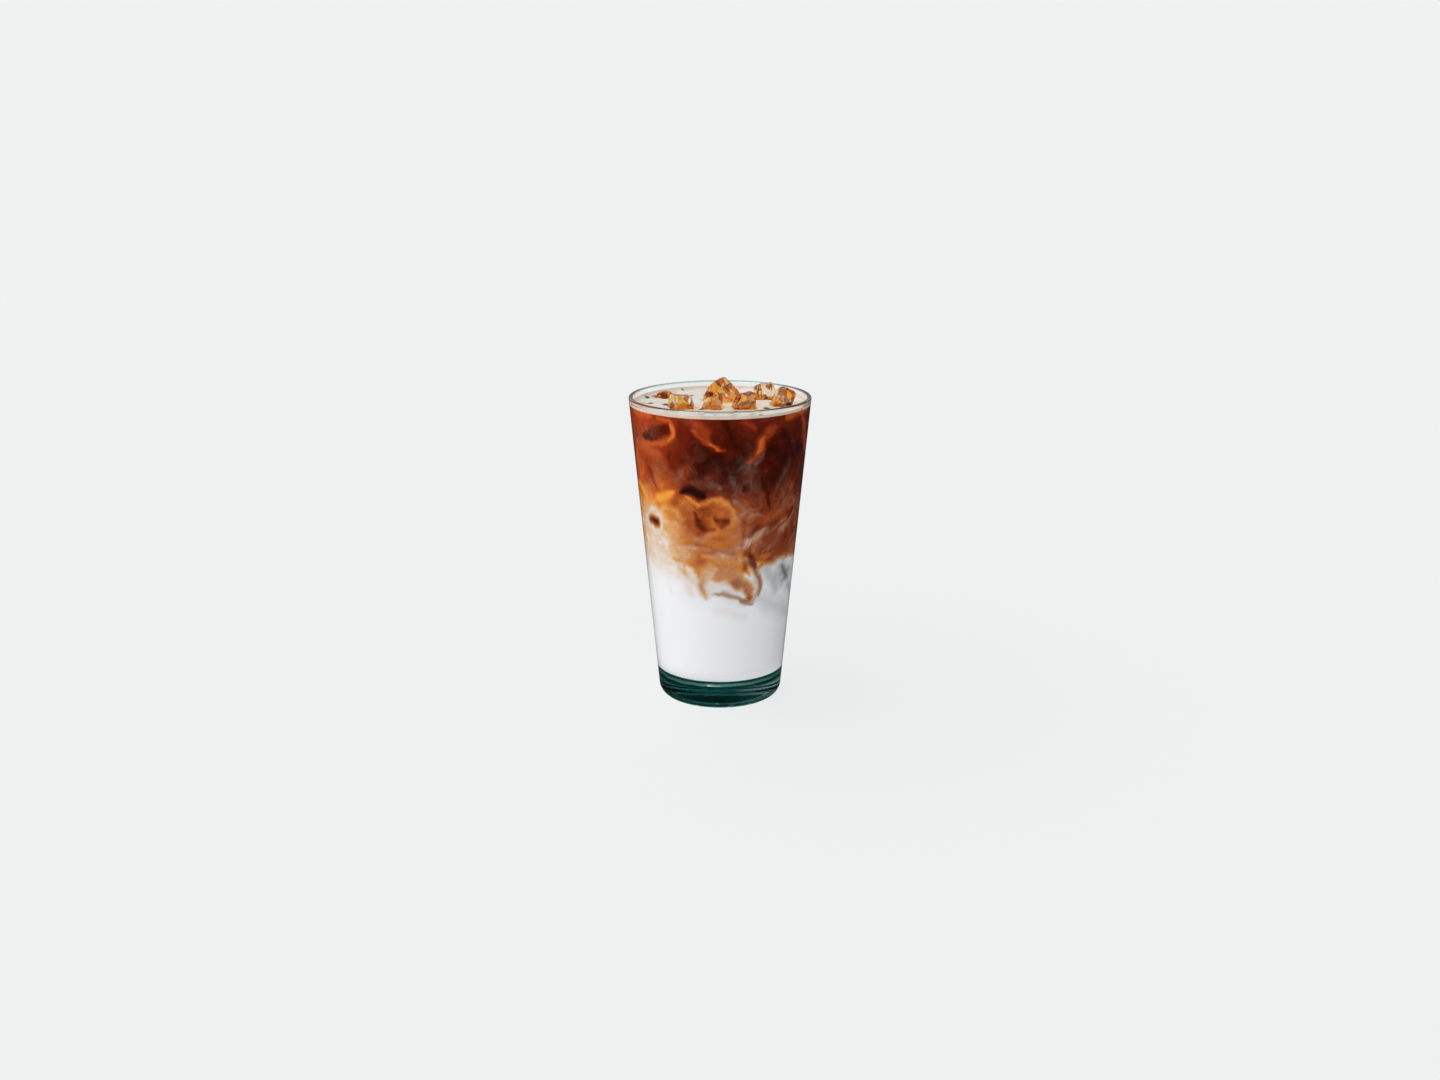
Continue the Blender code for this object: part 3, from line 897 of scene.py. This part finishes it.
def colour_seats_with_light(points, shares):
    """The pits round the ice: milky at the foam, then amber with painted light coming through the ice, less
    of it deeper down.
    """
    depth = SURFACE - points[:, 2]
    inside = eased((skin_radius(points[:, 2]) - np.hypot(points[:, 0], points[:, 1]) - 0.4) / 0.6)
    inside *= points[:, 2] > SURFACE - PIT_DEPTH
    clouds = unevenness(points, 5, 65) + 0.5 * unevenness(points, 2.2, 66)
    patch = eased((unevenness(points, 4, 67) - 0.15) / 0.12)
    # The glow here is painted light through the ice, less with depth and in the darker patches.
    pit = {"coffee": np.clip(0.05 + 0.008 * depth + 0.05 * clouds + 0.38 * patch, 0.02, 0.97),
           "glow": np.clip(1.0 - 0.03 * depth + 0.2 * clouds - 0.6 * patch, 0, 1),
           "shade": 0, "haze": 0, "cool": 0}
    for name, level in pit.items():
        shares[name] += (level - shares[name]) * inside


def paint_piece(piece):
    points = get_points(piece)
    shares = paint_swirls(points)
    colour_seats_with_light(points, shares)
    for name, share in shares.items():
        store_share(piece, name, share)


ICE_NAMES = ["ice_%d" % number for number in range(1, 8)]


def copy_of_solid(node, grow=0.0):
    """A merged copy of a solid's mesh, made larger all round by grow mm."""
    copy = bpy.data.objects.new(node + "_copy", frame["nodes"][node].data.copy())
    bpy.context.scene.collection.objects.link(copy)
    take_up(copy)
    bpy.ops.object.mode_set(mode="EDIT")
    bpy.ops.mesh.select_all(action="SELECT")
    bpy.ops.mesh.remove_doubles(threshold=0.00001)
    bpy.ops.object.mode_set(mode="OBJECT")
    if grow:
        normals = np.array([vertex.normal for vertex in copy.data.vertices])
        set_points(copy, get_points(copy) + grow * normals)
    return copy


def cut_seats(piece):
    """Takes the ice, with a little room round it, out of the espresso or the foam."""
    seats = bpy.data.collections.new("seats")
    bpy.context.scene.collection.children.link(seats)
    for node in ICE_NAMES:
        seat = copy_of_solid(node, ICE_CLEARANCE)
        bpy.context.scene.collection.objects.unlink(seat)
        seats.objects.link(seat)
    apply_modifier(piece, "seats of the ice", "BOOLEAN", operation="DIFFERENCE", solver="MANIFOLD",
                   operand_type="COLLECTION", collection=seats)
    for seat in list(seats.objects):
        bpy.data.objects.remove(seat)
    bpy.data.collections.remove(seats)


def make_drink():
    finish = drink_material()
    milk = make_layer("milk", "milk", MILK_ROWS, None, milk_top, finish)
    marbled = make_layer("marbled", "milky_coffee", MARBLED_ROWS, milk_top, espresso_base, finish)
    espresso = make_layer("espresso", "espresso", ESPRESSO_ROWS, espresso_base, level_with_foam, finish)
    cut_seats(espresso)
    for piece in (milk, marbled, espresso):
        paint_piece(piece)
    finish_piece(milk, "poured_milk", ["milk"], finish)
    finish_piece(marbled, "poured_marbling", ["marbled"], finish)
    finish_piece(espresso, "poured_espresso", ["espresso"], finish)


def surface_height(radius):
    """The foam's top: level, and climbing the glass at its edge."""
    edge = skin_radius(SURFACE)
    climb = np.clip(1 - (edge - radius) / MENISCUS_WIDTH, 0, 1)
    return SURFACE + MENISCUS * climb ** 2


# Dark spots on the foam, as x, y and half width in mm; each is longer from front to back
FOAM_SPOTS = [(-35.5, 15.5, 1.2), (-33.3, 0.9, 1.3), (-25.7, -1.6, 1.7), (-17.5, -14.0, 1.2),
              (-9.0, -14.5, 1.1), (22.0, -11.8, 1.4), (-6.0, -24.5, 1.0), (-11.5, -21.0, 0.8),
              (5.0, -27.0, 0.9), (29.5, -8.0, 0.8), (12.0, 20.0, 1.1), (-14.0, 22.0, 1.0),
              (-24.0, 12.0, 0.8), (33.0, 6.0, 0.9), (24.0, 12.5, 1.3)]
SPOT_STRETCH = 1.5


def make_foam():
    """A thin disc with rings of cells, raised at the glass and cut out round the ice."""
    begin_at_rest()
    edge = skin_radius(SURFACE + MENISCUS)
    middle = SURFACE - FOAM_THICKNESS / 2
    bpy.ops.mesh.primitive_cylinder_add(vertices=GLASS_SIDES, radius=edge * MM,
                                        depth=FOAM_THICKNESS * MM, end_fill_type="NGON",
                                        location=(0, 0, middle * MM))
    foam = bpy.context.object
    bpy.ops.object.transform_apply()
    for side in (faces_up, faces_down):
        pick(foam, "FACE", side)
        for _ in range(FOAM_RINGS):
            bpy.ops.mesh.inset(thickness=FOAM_RING_WIDTH * MM)
        bpy.ops.mesh.poke()
    begin_at_rest()
    points = get_points(foam)
    radius = np.hypot(points[:, 0], points[:, 1])
    top = points[:, 2] > middle
    ripple = 0.18 * unevenness(points * (1, 1, 0), 6, 71) + 0.08 * unevenness(points * (1, 1, 0), 2.2, 72)
    sink = np.where(top, 0, FOAM_THICKNESS)
    points[:, 2] = surface_height(radius) - sink + np.where(radius < edge - 1, ripple, 0)
    at_wall = radius > edge - 0.2
    scale = np.where(at_wall, skin_radius(points[:, 2]) / np.maximum(radius, 1), 1)
    points[:, :2] *= scale[:, None]
    set_points(foam, points)
    cut_seats(foam)
    points = get_points(foam)
    folded = carried_along(points * (1, 1, 0), 9, 3.0, 81)
    soaked = 0.5 * eased((unevenness(folded, 4, 83) - 0.35) / 0.4)
    at_wall = eased((np.hypot(points[:, 0], points[:, 1]) - edge + 2.6) / 2.2)
    store_share(foam, "soaked", np.maximum(0.7 * soaked, 0.42 * at_wall))
    spots = np.zeros(len(points))
    wobble = 0.6 * unevenness(points, 2.6, 84)
    for x, y, size in FOAM_SPOTS:
        away = np.hypot(points[:, 0] - x, (points[:, 1] - y) / SPOT_STRETCH) + wobble
        spots = np.maximum(spots, eased((size - away) / 0.9 + 0.6))
    store_share(foam, "dark_foam_spots", spots)
    smooth(foam, 40)
    return finish_piece(foam, "milk_foam", ["foam"], foam_material())


def make_ice():
    """Each cube from its solid: corners chipped off, edges melted, faces left wavy."""
    finish = ice_material()
    for node in ICE_NAMES:
        chance = random.Random(node + " chips")
        cube = copy_of_solid(node)
        low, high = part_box(node)
        middle = (low + high) / 2
        for _ in range(ICE_CHIPS):
            facing = Vector((chance.uniform(-1, 1), chance.uniform(-1, 1),
                             chance.uniform(-0.2, 0.5))).normalized()
            farthest = max((vertex.co - middle).dot(facing) for vertex in cube.data.vertices)
            depth = chance.uniform(0.9, 2.6) * MM
            bpy.ops.object.mode_set(mode="EDIT")
            bpy.ops.mesh.select_all(action="SELECT")
            bpy.ops.mesh.bisect(plane_co=middle + facing * (farthest - depth), plane_no=facing,
                                use_fill=True, clear_outer=True)
            bpy.ops.object.mode_set(mode="OBJECT")
        apply_modifier(cube, "even cells", "REMESH", mode="VOXEL", voxel_size=ICE_CELL * MM)
        apply_modifier(cube, "melt", "SMOOTH", factor=0.5, iterations=2)
        points = get_points(cube)
        normals = np.array([vertex.normal for vertex in cube.data.vertices])
        melted = 0.40 * unevenness(points, 5.0, 91) + 0.12 * unevenness(points, 2.0, 92) - 0.2
        set_points(cube, points + melted[:, None] * normals)
        take_up(cube)
        bpy.ops.object.shade_smooth()
        finish_piece(cube, "melting_" + node, [node], finish)


# The studio

CAMERA_BACK = 820.7
CAMERA_UP = 296.4
CAMERA_TILT = 14.9
LENS = 43.25


def place_camera():
    """The photograph's viewing angle: from the front, looking down by about 15 degrees."""
    view = bpy.data.cameras.new("camera")
    view.lens = LENS
    view.sensor_width = 36
    view.clip_start = 0.01
    camera = bpy.data.objects.new("camera", view)
    camera.location = (0, -CAMERA_BACK * MM, CAMERA_UP * MM)
    camera.rotation_euler = (math.radians(90 - CAMERA_TILT), 0, 0)
    bpy.context.scene.collection.objects.link(camera)
    bpy.context.scene.camera = camera


LAMP = (-0.45, -0.36, 0.82)
BACKDROP = "F0F2F2"
FLOOR_TONE = "EDEFEE"


def light_studio():
    """Soft light from all round, stronger from the left, before a plain pale backdrop.

    What glass and ice reflect is one soft lamp, up in front on the left, and a dim room.
    """
    world = bpy.data.worlds.new("studio")
    bpy.context.scene.world = world
    world.use_nodes = True
    tree = world.node_tree
    place = add_node(tree, "TexCoord").outputs["Generated"]
    axes = add_node(tree, "SeparateXYZ", links={0: place})
    sideways = add_node(tree, "Math", {"operation": "MULTIPLY_ADD", 1: -0.70, 2: 1.0}, {0: axes.outputs["X"]})
    soft = add_node(tree, "Background", {"Color": (1, 1, 1, 1)}, {"Strength": sideways.outputs[0]})
    ceiling = add_node(tree, "MapRange", {"From Min": 0.35, "From Max": 0.75, "To Min": 1.0, "To Max": 0.65},
                       {"Value": axes.outputs["Z"]})
    plain = add_node(tree, "Background", {"Color": linear(BACKDROP)}, {"Strength": ceiling.outputs[0]})
    horizon = add_node(tree, "MapRange", {"From Min": -0.05, "From Max": 0.1, "To Min": 0.03, "To Max": 0.4},
                       {"Value": axes.outputs["Z"]})
    towards = add_node(tree, "VectorMath", {"operation": "DOT_PRODUCT", 1: LAMP}, {0: place})
    lamp = add_node(tree, "MapRange", {"From Min": 0.955, "From Max": 0.975, "To Max": 10.0},
                    {"Value": towards.outputs["Value"]})
    overhead = add_node(tree, "Math", {"operation": "ADD"}, {0: horizon.outputs[0], 1: lamp.outputs[0]})
    shine = add_node(tree, "Background", {"Color": (1, 1, 1, 1)}, {"Strength": overhead.outputs[0]})
    path = add_node(tree, "LightPath")
    seen = add_node(tree, "Math", {"operation": "MAXIMUM"},
                    {0: path.outputs["Is Camera Ray"], 1: path.outputs["Is Transmission Ray"]})
    glossy = add_node(tree, "MixShader", links={0: path.outputs["Is Glossy Ray"], 1: soft.outputs[0],
                                                2: shine.outputs[0]})
    shown = add_node(tree, "MixShader", links={0: seen.outputs[0], 1: glossy.outputs[0], 2: plain.outputs[0]})
    output = next(node for node in tree.nodes if node.type == "OUTPUT_WORLD")
    tree.links.new(shown.outputs[0], output.inputs["Surface"])


def lay_floor():
    """A plain pale table that fades into the backdrop, with only a faint shadow under the glass."""
    begin_at_rest()
    bpy.ops.mesh.primitive_circle_add(vertices=128, radius=2.2, fill_type="NGON",
                                      location=(0, 0, -0.1 * MM))
    floor = bpy.context.object
    floor.name = "table"
    made, tree, shader = start_material("pale_table")
    set_up(tree, shader, {"Base Color": linear(FLOOR_TONE), "Roughness": 0.9,
                          "Specular IOR Level": 0.0})
    place = object_place(tree)
    away = add_node(tree, "VectorMath", {"operation": "LENGTH"}, {0: place})
    glow = add_node(tree, "Emission", {"Color": linear(BACKDROP), "Strength": 1.0})
    even = add_node(tree, "MixShader", {0: 0.7}, {1: shader.outputs[0], 2: glow.outputs[0]})
    far = add_node(tree, "MapRange", {"From Min": 0.3, "From Max": 2.0, "interpolation_type": "SMOOTHSTEP"},
                   {"Value": away.outputs["Value"]})
    gone = add_node(tree, "BsdfTransparent")
    fade = add_node(tree, "MixShader", links={0: far.outputs[0], 1: even.outputs[0], 2: gone.outputs[0]})
    tree.links.new(fade.outputs[0], tree.nodes["Material Output"].inputs["Surface"])
    floor.data.materials.append(made)
    floor.visible_glossy = False


bpy.context.scene.view_settings.view_transform = "Standard"
place_camera()
light_studio()
lay_floor()
make_tumbler()
make_drink()
make_foam()
make_ice()
